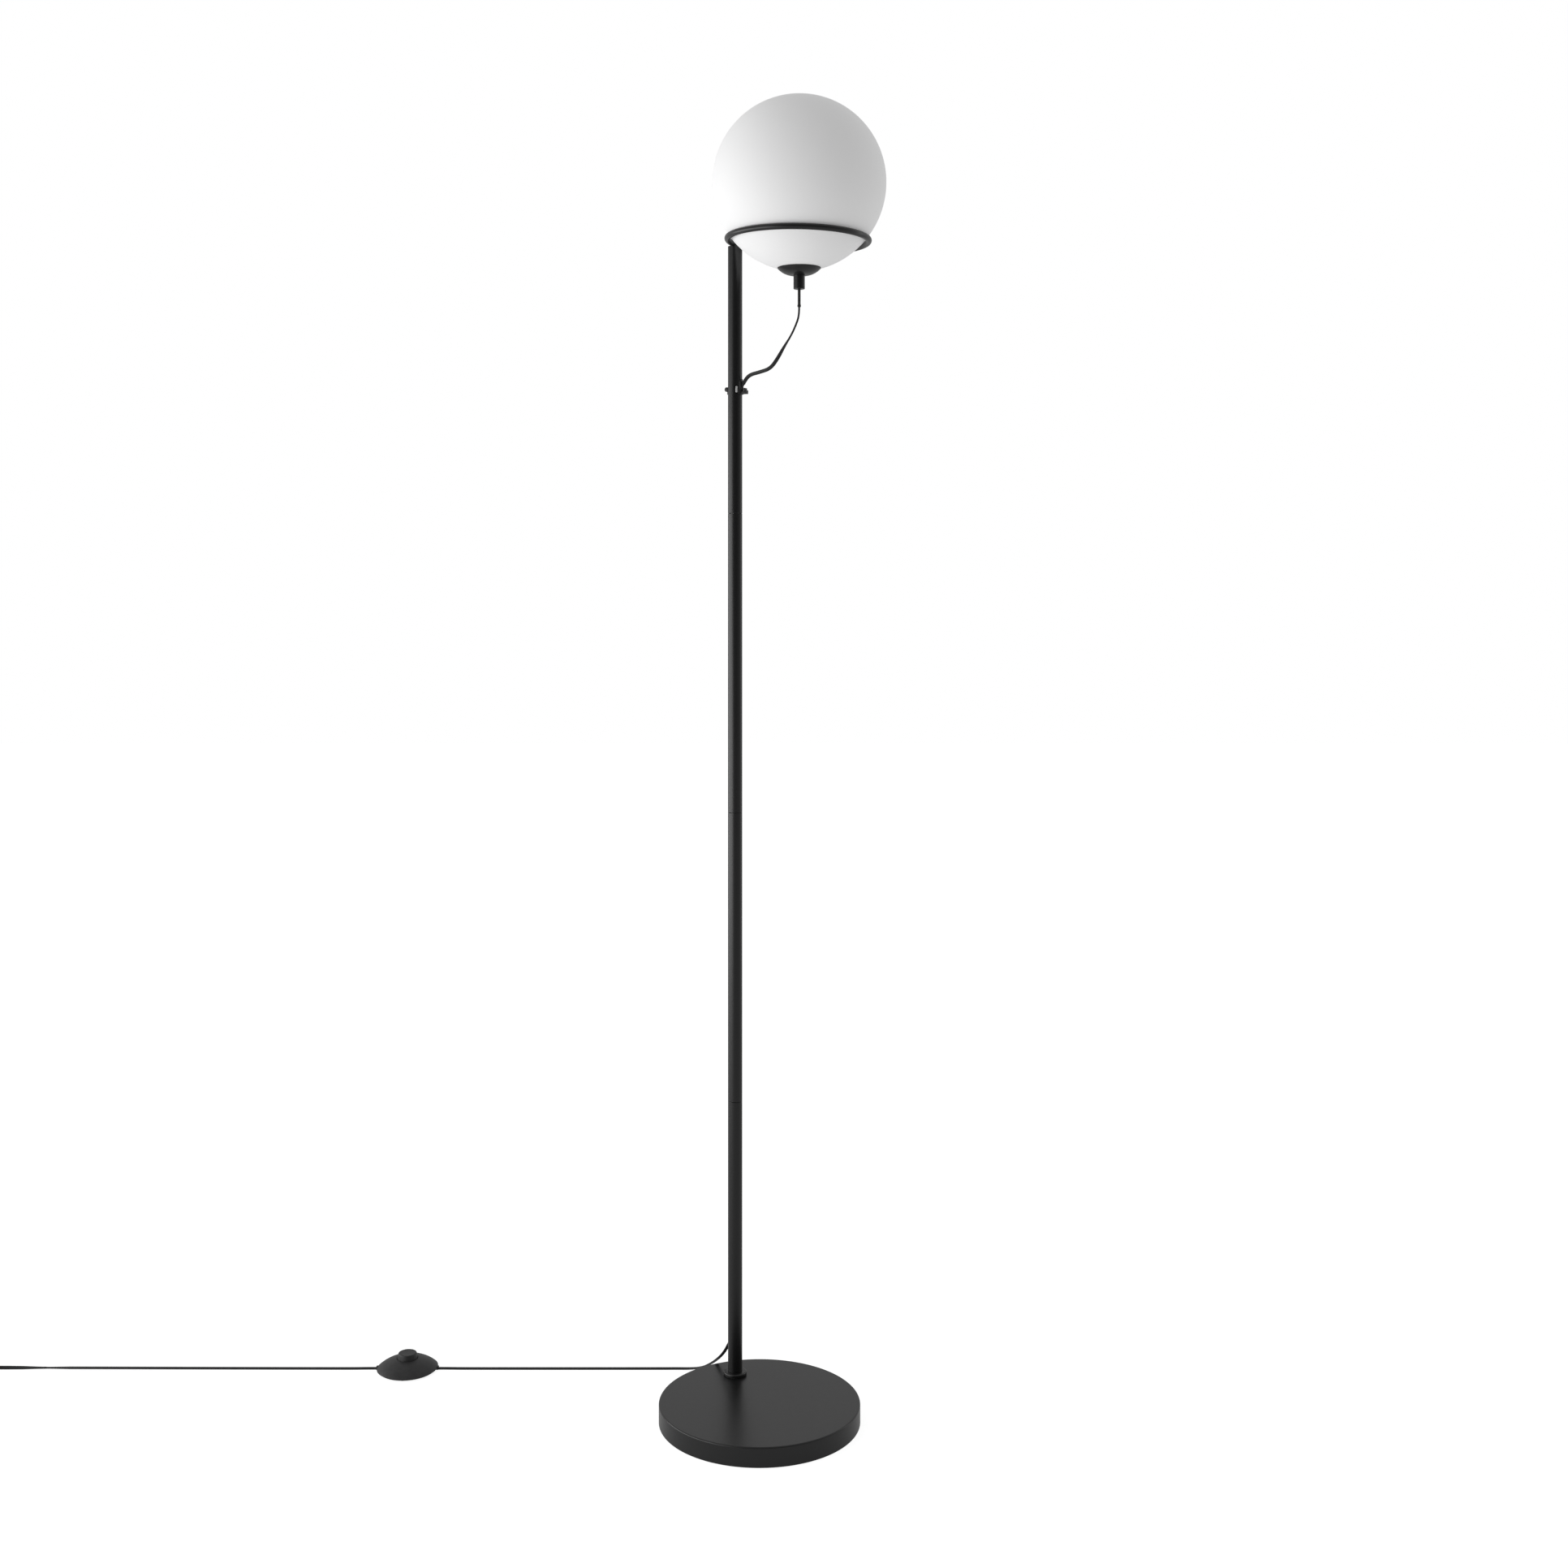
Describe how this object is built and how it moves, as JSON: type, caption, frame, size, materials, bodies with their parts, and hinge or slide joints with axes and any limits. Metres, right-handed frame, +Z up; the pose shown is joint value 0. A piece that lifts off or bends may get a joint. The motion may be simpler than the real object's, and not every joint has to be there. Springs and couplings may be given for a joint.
{
  "type": "globe floor lamp",
  "caption": "Slim floor lamp: round weighted base, jointed pole, wire ring holding an opal glass globe, dome cap below it, flat flex with a foot switch.",
  "frame": {"origin": "centre of the round base on the floor", "axes": "+Z up along the pole, +X to the right and +Y away from someone who faces the lamp"},
  "size_m": [1.14, 0.2861, 1.5058],
  "materials": {
    "powder_coat": "fine matt powder coat",
    "iron": "as cast",
    "pad": "matt foam",
    "black_rubber": "matt",
    "steel": "zinc plated",
    "black_plastic": "fine moulded texture",
    "grey_plastic": "satin",
    "black_screw": "black oxide",
    "flex": "satin flex sheath",
    "ceramic": "unglazed",
    "brass": "plain",
    "opal_glass": "satin opal",
    "frosted_bulb": "frosted",
    "white_plastic": "plain"
  },
  "bodies": {
    "stand": {"base_cover": "powder_coat", "base_ballast": "iron", "base_pad": "pad", "foot_washer": "black_rubber", "foot_collar": "powder_coat", "pole_stud": "steel", "stud_washer": "steel", "stud_nut": "steel", "pole_section_1": "powder_coat", "pole_section_2": "powder_coat", "pole_section_3": "powder_coat", "pole_section_4": "powder_coat", "pole_nipple_1": "steel", "pole_nipple_2": "steel", "pole_nipple_3": "steel", "ring_plug": "powder_coat", "support_ring": "powder_coat", "cord_clip": "black_plastic", "clip_screw": "black_screw", "slot_plug": "grey_plastic", "upper_grommet": "black_plastic", "lower_grommet": "black_plastic", "inner_lead": "flex", "globe_lead": "flex", "pole_lead": "flex", "plug_lead": "flex", "plug_lead_coil": "flex", "switch_housing": "black_plastic", "switch_base_plate": "black_plastic", "button_spring": "steel", "switch_block": "white_plastic", "switch_terminals": "brass", "switch_screws": "steel", "switch_feet": "black_rubber", "switch_glands": "black_plastic", "switch_leads": "flex", "switch_wires": "brass", "plug_body": "black_plastic", "plug_pins": "steel", "plug_relief": "black_plastic"},
    "head": {"dome_cap": "powder_coat", "cap_gasket": "black_rubber", "stem": "powder_coat", "stem_nut": "steel", "holder_hub": "black_plastic", "lampholder": "ceramic", "holder_contacts": "brass", "holder_screws": "steel", "cord_sleeve": "black_rubber", "cord_grip": "black_plastic", "head_lead": "flex"},
    "glass": {"glass_globe": "opal_glass", "glass_collar": "black_plastic"},
    "bulb": {"bulb_envelope": "frosted_bulb", "bulb_base": "white_plastic", "bulb_pins": "steel"},
    "button": {"switch_button": "black_plastic", "switch_plunger": "white_plastic"}
  },
  "joints": [
    {"name": "globe_swivel", "type": "hinge", "parent": "stand", "child": "head", "pos_m": [0.04546, 0.0348, 1.4058], "axis": [0, 0, 1], "range_deg": [-90, 90]},
    {"name": "glass_lift", "type": "slide", "parent": "head", "child": "glass", "axis": [0, 0, 1], "range_m": [0, 0.09]},
    {"name": "bulb_pull", "type": "slide", "parent": "head", "child": "bulb", "axis": [0, 0, 1], "range_m": [0, 0.012]},
    {"name": "switch_press", "type": "slide", "parent": "stand", "child": "button", "axis": [0, 0, -1], "range_m": [0, 0.0035], "stiffness_N_per_m": 1200, "springref_m": -0.003, "deforming": ["button_spring"]}
  ]
}
